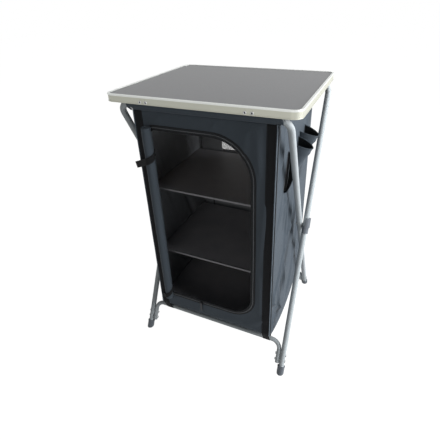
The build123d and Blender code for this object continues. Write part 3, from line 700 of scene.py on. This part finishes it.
def webbing_strips():
    """The straps up the panels' corners, each sewn down along both edges."""
    levels = evenly(bottom, top, 110)
    for node, y, face, lift, outward in (
        ("front_webbing", front, front_y, -WEBBING, (0, -1, 0)),
        ("rear_webbing", rear, back_y, WEBBING, (0, 1, 0)),
    ):
        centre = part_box(node)[1].x - WEBBING_WIDTH / 2
        rows = []
        for side, hand in HANDS:
            x = side * centre
            path = [(drawn(x, y), face(x, z) + lift, z) for z in levels]
            ribbon(f"{node}_{hand}", path, (1, 0, 0), WEBBING_WIDTH, black_webbing,
                   outward=outward, slot=node, stands_for=(node,) if side > 0 else ())
            for edge in (-1, 1):
                inset = edge * (WEBBING_WIDTH / 2 - 2 * MM)
                rows.append([(px + inset, py, pz) for px, py, pz in path])
        stitches(f"{node}_stitches", rows, outward, node)


webbing_strips()


def bar_loop_straps():
    """The straps that hold the cabinet down to the lower cross-bars."""
    for node, body, outside, outward in (
        ("front_bar_loops", "frame_b", front, -1),
        ("rear_bar_loops", "frame_a", rear, 1),
    ):
        low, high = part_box(node)
        inner = CROSSBAR_RADIUS + 0.2 * MM + WEBBING / 2
        centre_z = low.z + inner + WEBBING / 2
        bar_y = outward * CROSSBAR_REACH
        path = [(bar_y - outward * inner, z) for z in evenly(bottom, centre_z, 5)]
        path += [(bar_y - outward * inner * cos(a), centre_z - inner * sin(a))
                 for a in evenly(0, pi, 12)[1:-1]]
        end = (outside + outward * WEBBING / 2, bottom)
        path += [between((bar_y + outward * inner, centre_z), end, step / 5) for step in range(6)]
        for side, hand in HANDS:
            x = drawn(side * (high.x - WEBBING_WIDTH / 2), outside)
            points = [(x, y, z) for y, z in path]
            ribbon(f"{node}_{hand}", points, (1, 0, 0), WEBBING_WIDTH, black_webbing,
                   body=body, slot=node, stands_for=(node,) if side > 0 else ())


bar_loop_straps()


def corner_cords():
    """Piping down the front corners, and beside it on each side panel a black strip: a painted
    shadow line.
    """
    for side, hand in HANDS:
        x = side * (half_width - 0.5 * MM - PIPING_RADIUS)
        path = [
            (drawn(x, front) + 0.6 * MM * noise.noise(Vector((z * 20, side, 0))),
             front_y(x, z) - PIPING_RADIUS, z)
            for z in evenly(bottom, top, 120)
        ]
        tube(f"corner_piping_{hand}", path, PIPING_RADIUS * 0.96, piping_cloth, 10,
             slot="corner_piping", stands_for=("corner_piping",) if side > 0 else ())
        # A black strip on the side panel beside the piping: a painted shadow line.
        shadow_line_x = drawn(side * (half_width + 1.6 * MM), front)
        seam = [(shadow_line_x, front + 3 * MM, z) for z in evenly(bottom, top, 60)]
        ribbon(f"corner_shadow_line_{hand}", seam, (0, 1, 0), 5 * MM, black_tape, thickness=1.4 * MM,
               outward=(side, 0, 0), slot=f"{hand}_panel")


corner_cords()


def corner_flaps():
    """The short slanted hems where the front sleeve meets the side panels."""
    for side, hand in HANDS:
        path = [
            Vector((drawn(side * (half_width + 1 * MM + 17 * MM * share), front),
                    front - (3 + 7 * share) * MM, top - 2 * MM + 16 * MM * share))
            for share in evenly(0, 1, 10)
        ]
        ribbon(f"corner_flap_{hand}", path, Vector((-side * 0.6, 0, 0.8)), 6 * MM, slate,
               thickness=1.2 * MM, outward=(side, -1, 0), slot="front_top_sleeve",
               body="frame_a", folded=None)


corner_flaps()


# Zip
def on_front(x, z, lift):
    """A place that stands out from the front panel by a lift in millimetres."""
    return (drawn(x, front), front_y(x, z) - lift * MM, z)


# The zip tape's section, in millimetres out of the opening and up from the panel
TAPE_SECTION = (
    (-0.8, -0.6), (-0.6, 0.9), (0.6, 1.5), (2.2, 1.5), (3.0, 1.0), (5.8, 0.9), (6.0, 1.5),
    (6.6, 1.6), (6.9, 0.9), (10.3, 0.9), (10.6, 1.6), (11.2, 1.5), (11.4, 0.9), (14.0, 1.0),
    (14.8, 1.6), (16.2, 1.5), (17.0, 0.1),
)
TAPE_SEAMS = (4.4, 12.7)
TAPE_SEAM_LIFT = 0.9
ring_piece("zip_tape_cloth", [door_loop(grow * MM) for grow, _ in TAPE_SECTION],
           lambda x, z, row: on_front(x, z, TAPE_SECTION[row][1]), black_tape,
           outward=(0, -1, 0), stands_for=("zip_tape",))


def tape_row(grow):
    loop = door_loop(grow * MM)
    return [on_front(x, z, TAPE_SEAM_LIFT) for x, z in loop + loop[:1]]


stitches("zip_tape_stitches", [tape_row(grow) for grow in TAPE_SEAMS], (0, -1, 0), "zip_tape")


TOOTH_FACES = ((0, 1, 3, 2), (2, 3, 5, 4), (4, 5, 7, 6), (0, 2, 4, 6), (1, 7, 5, 3))


def zip_teeth():
    """The coil's turns, laid side by side along its line."""
    loop = [(drawn(x, front), z) for x, z in door_loop(COIL_LINE)]
    pitch = 2.2 * MM
    points, faces = [], []
    carry = 0.0
    for start, end in zip(loop, loop[1:] + loop[:1]):
        run_x, run_z = end[0] - start[0], end[1] - start[1]
        run = hypot(run_x, run_z)
        while carry < run:
            x, z = between(start, end, carry / run)
            base_y = front_y(x, z) - TAPE_THICKNESS
            base = len(points)
            for across in (-1.6, -1.0, 1.0, 1.6):
                rise = 1.1 if abs(across) < 1.5 else 0.1
                for length in (-0.75, 0.75):
                    points.append((
                        x + (run_x * length - run_z * across) / run * MM,
                        base_y - rise * MM,
                        z + (run_z * length + run_x * across) / run * MM,
                    ))
            faces += shifted(TOOTH_FACES, base)
            carry += pitch
        carry -= run
    piece("zip_coil_turns", points, faces, coil, outward=(0, -1, 0), slot="zip_tape")


zip_teeth()


def gathered_copy(node):
    """A node of the zip as a piece of its own with a dark metal finish, the node itself hidden."""
    obj = new_object(node + "_on_cloth", nodes[node].data.copy())
    obj.data.materials.clear()
    obj.data.materials.append(dark_metal_and_bore_shade)
    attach(obj, node)
    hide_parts(node)
    gather(obj)


for node in ("zip_slider", "zip_pull"):
    gathered_copy(node)

# The rolled door and its straps
ROLL_RADIUS = 15 * MM
ROLL_CLOTH = 1.3 * MM
ROLL_PITCH = 2.15 * MM
ROLL_TURNS = 5.4
ROLL_ENDS = 20 * MM
roll_centre_x = roll_low.x + ROLL_RADIUS
roll_centre_y = roll_low.y + ROLL_RADIUS
SEAM_X = 5.85 * MM
strap_low, strap_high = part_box("door_tie_straps")
STRAP_WIDTHS = (22 * MM, 16 * MM)
STRAP_SEAM_ANGLE = radians(48)
STRAP_TAIL = 3 * MM
STRAP_DROPS_FROM = 26 * MM
STRAP_HEIGHTS = (strap_high.z + 7 * MM, strap_low.z + 11 * MM)


def rolled_cloth():
    """The door panel, wound from the opening's edge into a roll that its straps draw in."""
    middle = ROLL_RADIUS - ROLL_CLOTH / 2
    seam_angle = acos(SEAM_X / middle)
    section = [between((SEAM_X, front + FABRIC - roll_centre_y),
                       (SEAM_X, middle * sin(seam_angle)), step / 3) for step in range(3)]
    for turned in evenly(0, ROLL_TURNS * 2 * pi, int(ROLL_TURNS * 26)):
        radius = middle - ROLL_PITCH * turned / (2 * pi)
        section.append((radius * cos(seam_angle - turned), radius * sin(seam_angle - turned)))
    rows = evenly(roll_low.z - ROLL_ENDS, roll_high.z + ROLL_ENDS, 110)
    points = []
    for z in rows:
        pinch = sum(swell(z - strap, 30 * MM) for strap in STRAP_HEIGHTS)
        flat = 1 + 0.05 * noise.noise(Vector((z * 9, 4, 0)))
        for index, (x, y) in enumerate(section):
            if index < 3:
                points.append((roll_centre_x + x, roll_centre_y + y, z))
                continue
            around = 1.6 / hypot(x, y)
            ripple = 0.035 * noise.noise(Vector((x * around, y * around, z * 14)))
            blend = min(1.0, (index - 3) / 8)
            scale = 1 + ((1 - 0.06 * pinch) * (0.97 + ripple) - 1) * blend
            points.append((roll_centre_x + x * scale * flat, roll_centre_y + y * scale, z))
    cloth = piece("rolled_door_cloth", points, grid_faces(len(rows), len(section)), slate,
                  stands_for=("rolled_door",), thickness=ROLL_CLOTH, folded=FOLDED_ROLL_SHARE)
    opening = door_loop(COIL_LINE)


rolled_cloth()


def strap_section(reach):
    """A tie strap seen from above: out of the opening, round the roll, to its free end."""
    middle = ROLL_RADIUS + 0.3 * MM + WEBBING / 2
    tail_y = front - 2 * PIPING_RADIUS - WEBBING - roll_centre_y
    tail = ((-half_width - STRAP_TAIL - roll_centre_x) * reach, tail_y)
    leave = atan2(tail[1], tail[0]) + acos(min(1.0, middle / hypot(*tail))) - 2 * pi
    seam = (middle * cos(STRAP_SEAM_ANGLE), middle * sin(STRAP_SEAM_ANGLE))
    inside = front + FABRIC + WEBBING - roll_centre_y
    path = [(seam[0] - 24 * MM, inside), (seam[0] - 12 * MM, inside), (seam[0] - 3 * MM, inside),
            (seam[0], inside - 2 * MM), (seam[0], (inside + seam[1]) / 2)]
    path += [(middle * cos(a), middle * sin(a)) for a in evenly(STRAP_SEAM_ANGLE, leave, 22)]
    last = path[-1]
    path += [between(last, tail, step / 8) for step in range(1, 9)]
    return path


def tie_strap(name, height, width, drop, reach, **facts):
    """A strap whose line drops as it goes round, by a share of its run."""
    section = strap_section(reach)
    path, across = [], []
    run = 0.0
    for index, (x, y) in enumerate(section):
        if index:
            run += hypot(x - section[index - 1][0], y - section[index - 1][1])
        z = height + 0.5 * width - drop * max(0.0, run - STRAP_DROPS_FROM)
        path.append(Vector((roll_centre_x + x, roll_centre_y + y, z)))
    for index, p in enumerate(path):
        along = path[min(index + 1, len(path) - 1)] - path[max(index - 1, 0)]
        level = Vector((along.x, along.y, 0)).normalized()
        across.append(Vector((level.x * drop, level.y * drop, 1)).normalized())
    ribbon(name, path, across, width, black_webbing, slot="door_tie_straps",
           folded=FOLDED_ROLL_SHARE, **facts)


tie_strap("upper_tie_strap", STRAP_HEIGHTS[0], STRAP_WIDTHS[0], 0.45, 1.0,
          stands_for=("door_tie_straps",))
tie_strap("lower_tie_strap", STRAP_HEIGHTS[1], STRAP_WIDTHS[1], 0.7, 0.6)


# Sleeves round the top bars
SLEEVE_SIDES = 28


def sleeve(name, node, frame_node, body, facing, turns):
    """The cloth tunnel round a top bar, with its hem over the panel.

    It goes into the bar's left and right bends by the turns, in degrees.
    """
    bar_low, bar_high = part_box(frame_node)
    bar_y = facing * (abs(bar_low.y if facing < 0 else bar_high.y) - TUBE_RADIUS)
    bar_z = bar_high.z - TUBE_RADIUS
    straight = bar_high.x - TUBE_RADIUS - TUBE_BEND
    ends = [
        [(side * (straight + TUBE_BEND * sin(a)), TUBE_BEND * (1 - cos(a)))
         for a in evenly(0, radians(turn), 8)]
        for side, turn in zip((-1, 1), turns)
    ]
    path = ends[0][::-1] + [(x, 0.0) for x in evenly(-straight, straight, 90)[1:-1]] + ends[1]
    panel_y = (front - 0.5 * MM) if facing < 0 else (rear + 0.5 * MM)
    to_hem = (top - 1 * MM - bar_z, panel_y - bar_y)
    hem_angle, hem_reach = atan2(*to_hem), hypot(*to_hem)
    points = []
    for x, drop in path:
        y = bar_y - facing * drop * sin(LEG_SLANT)
        z = bar_z - drop * cos(LEG_SLANT)
        end = half_width + 6 * MM - (DRAWN_IN if facing < 0 and x < 0 else 0.0)
        hem = clamp((end - abs(x)) / (14 * MM))
        for side in range(SLEEVE_SIDES):
            angle = 2 * pi * side / SLEEVE_SIDES + hem_angle
            away = min(side, SLEEVE_SIDES - side) * 2 * pi / SLEEVE_SIDES
            ripple = 0.5 * MM * noise.noise(Vector((x * 30, cos(angle), sin(angle))))
            radius = TUBE_RADIUS + 0.25 * MM + FABRIC * 0.6 + abs(ripple)
            radius += hem * (hem_reach - radius) * swell(away, 0.5)
            points.append((x, y + radius * cos(angle), z + radius * sin(angle)))
    faces = grid_faces(len(path), SLEEVE_SIDES, True)
    cloth = piece(name, points, faces, slate, stands_for=(node,), body=body,
                  thickness=0.6 * MM, inside=lining)


sleeve("front_sleeve_cloth", "front_top_sleeve", "frame_a_tube", "frame_a", -1, (13, 40))
sleeve("rear_sleeve_cloth", "rear_top_sleeve", "frame_b_tube", "frame_b", 1, (30, 30))

# Stitches along the top hems and round the window
HEM_SEAMS = (4 * MM, 7 * MM)


def seam_row(face, z):
    """A row of stitches across a panel at a height, between its straps."""
    reach = half_width - 34 * MM
    return [(x, face(x, z), z) for x in evenly(-reach, reach, 60)]


stitches("front_hem_stitches", [seam_row(front_y, top - drop) for drop in HEM_SEAMS],
         (0, -1, 0), "front_panel")
stitches("rear_hem_stitches", [seam_row(back_y, top - drop) for drop in HEM_SEAMS],
         (0, 1, 0), "back_panel")
binding_row = [(x, rear + 1.5 * MM, z) for x, z in window_loop(9 * MM)]
stitches("window_stitches", [binding_row + binding_row[:1]], (0, 1, 0), "window_tape")


# Rivets: a head's section as radii and rises in millimetres, and the hooks that pairs hold
RIVET_HEAD = ((2.3, 0.4), (2.7, 1.7), (3.5, 2.0), (4.4, 1.5), (4.9, 0.0))
# The dark disc in each head's open middle, a painted shade for the hollow: its radius and rise
RIVET_BORE = 2.5
RIVET_BORE_RISE = 0.5
RIVET_SIDES = 20
RIVET_SHANK = 1.3 * MM
RIVET_PITCH = 19.5 * MM
HOOK_PLACE = 162 * MM


def rivet_heads():
    """The round heads of the hooks' rivets, each open in the middle over a flat dark disc: painted
    shade.
    """
    low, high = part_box("tabletop_rivets")
    height = (low.z + high.z) / 2
    ring_faces = grid_faces(len(RIVET_HEAD), RIVET_SIDES, True)
    columns = [hook + half for hook in (-HOOK_PLACE, HOOK_PLACE)
               for half in (-RIVET_PITCH / 2, RIVET_PITCH / 2)]

    def circle(x, radius, y):
        return [(x + radius * cos(a) * MM, y, height + radius * sin(a) * MM)
                for a in evenly(0, 2 * pi, RIVET_SIDES)[:-1]]

    for facing, face in ((-1, low.y + RIVET_SHANK), (1, high.y - RIVET_SHANK)):
        points, faces, cores, core_faces = [], [], [], []
        for x in columns:
            faces += shifted(ring_faces, len(points))
            for radius, rise in RIVET_HEAD:
                points += circle(x, radius, face + facing * rise * MM)
            core_faces.append(tuple(range(len(cores), len(cores) + RIVET_SIDES)))
            cores += circle(x, RIVET_BORE, face + facing * RIVET_BORE_RISE * MM)
        end = "front" if facing < 0 else "rear"
        facts = {"outward": (0, facing, 0), "slot": "tabletop_rivets", "body": "tabletop"}
        piece(f"{end}_rivet_heads", points, faces, rivet_metal,
              stands_for=("tabletop_rivets",) if facing < 0 else (), **facts)
        # A flat dark disc in each head's open middle: painted shade for the hollow.
        piece(f"{end}_rivet_bore_shades", cores, core_faces, dark_metal_and_bore_shade, **facts)


rivet_heads()


# Boards' binding and ledges
BOARD = 6 * MM
LEDGE_WIDTH = 24 * MM


def board_bindings():
    """The bound front edge of each board."""
    for name in shelf_nodes:
        low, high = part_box(name)
        y, z1 = low.y, low.z + BOARD
        section = ((y + 5 * MM, z1 + 0.65 * MM), (y + 3.5 * MM, z1 + 0.9 * MM),
                   (y + 0.8 * MM, z1 + 0.95 * MM), (y - 0.5 * MM, z1 + 0.2 * MM),
                   (y - 0.55 * MM, z1 - 1.4 * MM))
        xs = evenly(low.x + 9 * MM, high.x - 9 * MM, 40)
        points = [(x, sy, sz) for x in xs for sy, sz in section]
        piece(f"{name}_binding", points, grid_faces(len(xs), len(section)), binding, slot=name,
              body=name, thickness=0.4 * MM, outward=(0, -0.3, 1))


board_bindings()


def ledge_strips():
    """The cloth strips on the side panels that the two upper boards rest on."""
    low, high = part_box("shelf_ledges")
    ys = evenly(low.y, high.y, 30)
    for label, height in zip(("upper", "middle"), shelf_heights):
        for side, hand in HANDS:
            points = [
                (side * (half_width - FABRIC - LEDGE_WIDTH * column / 5), y,
                 height - 1.2 * MM * sin(pi * column / 5) - 0.4 * MM)
                for y in ys for column in range(6)
            ]
            first = (label, hand) == ("upper", "left")
            piece(f"{label}_ledge_{hand}", points, grid_faces(len(ys), 6), lining,
                  thickness=FABRIC * 0.8, outward=(0, 0, 1), slot="shelf_ledges",
                  stands_for=("shelf_ledges",) if first else ())


ledge_strips()


# Pockets on the right side
CUP_MOUTH_HALF = 36 * MM
CUP_FOOT_HALF = 26 * MM
CUP_FOOT_REACH = 7 * MM
CUP_DIP = 22 * MM


def cup_cloth(name, node, seed):
    """A cup pocket: a soft cone that gapes at its mouth and narrows to its foot."""
    low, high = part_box(node)
    centre = (low.y + high.y) / 2
    reach = high.x - half_width
    rows, columns = 26, 36
    points = []
    for share in evenly(0, 1, rows):
        half = CUP_FOOT_HALF + (CUP_MOUTH_HALF - CUP_FOOT_HALF) * share
        out = CUP_FOOT_REACH + (reach - CUP_FOOT_REACH) * share ** 1.1
        for turn in evenly(0, pi, columns):
            sharp = sin(turn) ** (1.0 + 0.25 * share)
            y = centre - half * cos(turn) * (1 + 0.1 * sin(turn))
            z = low.z + (high.z - low.z) * share - CUP_DIP * share * sharp
            soft = 1.6 * MM * noise.noise(Vector((turn * 1.3, share * 3, seed))) * sin(turn)
            soft += 2.2 * MM * swell(share - 0.8, 0.06) * sin(turn)
            wall = side_x(y, z, RIGHT_FOLDS, RIGHT_SEED)
            blend = min(1.0, sin(turn) * 3)
            x = wall + 0.4 * MM + (out * sharp + soft) * blend - (wall - half_width) * blend
            points.append((max(x, wall + 0.3 * MM), y, z))
    # The inside face takes the black tape finish: painted shade that darkens the cup's mouth.
    cloth = piece(name, points, grid_faces(rows + 1, columns + 1), slate, stands_for=(node,),
                  thickness=FABRIC * 0.8, outward=(1, 0, 0), inside=black_tape)
    mouth = points[-columns - 1:]
    tube(f"{name}_hem", mouth, 1.3 * MM, slate, 8, slot=node)


cup_cloth("rear_cup_cloth", "rear_cup_pocket", 11.0)
cup_cloth("front_cup_cloth", "front_cup_pocket", 12.0)

SLIT_HEAD = (-108 * MM, 830 * MM)
SLIT_FOOT = (-146 * MM, 706 * MM)
SLIT_GAPE = 24 * MM
SLIT_DEPTH = 34 * MM


def slit_place(along, behind):
    """A place on the slanted pocket, by its share up the slit and its distance behind it."""
    run = (SLIT_HEAD[0] - SLIT_FOOT[0], SLIT_HEAD[1] - SLIT_FOOT[1])
    size = hypot(*run)
    back = (run[1] / size, -run[0] / size)
    return (SLIT_FOOT[0] + run[0] * along + back[0] * behind,
            SLIT_FOOT[1] + run[1] * along + back[1] * behind)


def slit_cloth():
    """The slanted hand pocket: open in front, sewn flat at the rear, with painted shade in its
    mouth.
    """
    rows, columns = 30, 18
    points, shade = [], []
    for along in evenly(0, 1, rows):
        bow = sin(pi * along) ** 0.5
        for behind in evenly(0, 1, columns):
            y, z = slit_place(along, SLIT_DEPTH * behind)
            wall = side_x(y, z, RIGHT_FOLDS, RIGHT_SEED)
            rise = (SLIT_GAPE * (1 - behind ** 1.6) + 1.2 * MM) * bow
            points.append((wall + 0.6 * MM + rise, y, z))
            shade.append((wall + 0.3 * MM + 0.3 * MM * bow, y - 1.5 * MM * bow * (1 - behind), z))
    faces = grid_faces(rows + 1, columns + 1)
    # The flap's inside face takes the black tape finish: painted shade in the pocket's mouth.
    cloth = piece("slit_pocket_cloth", points, faces, slate, stands_for=("slit_pocket",),
                  thickness=FABRIC * 0.8, outward=(1, 0, 0), inside=black_tape)
    # A sheet laid just off the wall behind the mouth: painted shade for the pocket's inside.
    piece("slit_pocket_painted_shade", shade, faces, lining, outward=(1, 0, 0), slot="slit_pocket")
    mouth = points[::columns + 1]
    tube("slit_pocket_hem", mouth, 0.9 * MM, slate, 8, slot="slit_pocket")


slit_cloth()


# Stage, light and camera
FLOOR_REACH = 12.0
FLOOR_GREY = 0.45
FLOOR_GLOW = 1.245
FLOOR_GLOW_SHARE = 0.8
AMBIENT = 0.06


def stage():
    """A pale floor that shows white to the camera and keeps the object's shadow."""
    mesh = bpy.data.meshes.new("floor")
    corners = ((-1, -1), (1, -1), (1, 1), (-1, 1))
    mesh.from_pydata([(x * FLOOR_REACH, y * FLOOR_REACH, 0) for x, y in corners],
                     [], [(0, 1, 2, 3)])
    new_object("floor", mesh)
    made = bpy.data.materials.new("pale_floor")
    made.use_nodes = True
    tree = made.node_tree
    tree.nodes.clear()
    diffuse = add(tree, "ShaderNodeBsdfDiffuse", Color=[FLOOR_GREY] * 3 + [1])
    glow = add(tree, "ShaderNodeEmission", Color=(1, 1, 1, 1), Strength=FLOOR_GLOW)
    mix = tree.nodes.new("ShaderNodeMixShader")
    share = calculate(tree, "MULTIPLY", seen_rays(tree), FLOOR_GLOW_SHARE)
    tree.links.new(share, mix.inputs["Fac"])
    tree.links.new(diffuse.outputs[0], mix.inputs[1])
    tree.links.new(glow.outputs[0], mix.inputs[2])
    out = tree.nodes.new("ShaderNodeOutputMaterial")
    tree.links.new(mix.outputs[0], out.inputs["Surface"])
    mesh.materials.append(made)


def seen_rays(tree):
    """1 for the rays that show the background itself, and 0 for those that light the object."""
    path = tree.nodes.new("ShaderNodeLightPath")
    total = path.outputs["Is Camera Ray"]
    for name in ("Is Glossy Ray", "Is Transmission Ray"):
        total = calculate(tree, "MAXIMUM", total, path.outputs[name])
    return total


def world():
    """A white world for what is seen, which lights the object only weakly."""
    made = bpy.data.worlds.new("studio")
    bpy.context.scene.world = made
    made.use_nodes = True
    tree = made.node_tree
    background = tree.nodes["Background"]
    background.inputs["Color"].default_value = (1, 1, 1, 1)
    strength = add(tree, "ShaderNodeMapRange", To_Min=AMBIENT, To_Max=1.0)
    tree.links.new(seen_rays(tree), strength.inputs["Value"])
    tree.links.new(strength.outputs["Result"], background.inputs["Strength"])


def lamp(name, place, size, power, colour=(1, 1, 1)):
    """A square lamp that points at the middle of the object."""
    data = bpy.data.lights.new(name, "AREA")
    data.shape = "SQUARE"
    data.size = size
    data.energy = power
    data.color = colour
    obj = new_object(name, data)
    obj.location = place
    obj.rotation_euler = (Vector((0, 0, 0.5)) - Vector(place)).to_track_quat("-Z", "Y").to_euler()


def camera():
    """The photograph's camera, with its principal point as a shift."""
    azimuth, elevation, roll = map(radians, (CAMERA_AZIMUTH, CAMERA_ELEVATION, CAMERA_ROLL))
    forward = Vector((-sin(azimuth) * cos(elevation), cos(azimuth) * cos(elevation),
                      -sin(elevation)))
    right = forward.cross(Vector((0, 0, 1))).normalized()
    up = right.cross(forward)
    across = right * cos(roll) + up * sin(roll)
    above = -right * sin(roll) + up * cos(roll)
    data = bpy.data.cameras.new("camera")
    data.sensor_width = SENSOR_WIDTH
    data.lens = SENSOR_WIDTH * FOCAL_PIXELS / PHOTO_PIXELS
    data.shift_x = (PHOTO_PIXELS / 2 - PRINCIPAL_POINT[0]) / PHOTO_PIXELS
    data.shift_y = (PRINCIPAL_POINT[1] - PHOTO_PIXELS / 2) / PHOTO_PIXELS
    obj = new_object("camera", data)
    turn = Matrix((across, above, -forward)).transposed()
    obj.matrix_world = Matrix.Translation(CAMERA_PLACE) @ turn.to_4x4()
    bpy.context.scene.camera = obj


stage()
world()
lamp("key", (3.1, 0.3, 1.9), 2.4, 222)
lamp("fill", (0.4, -3.1, 1.2), 1.4, 16, (1, 0.97, 0.93))
camera()
bpy.context.scene.view_settings.view_transform = "Standard"
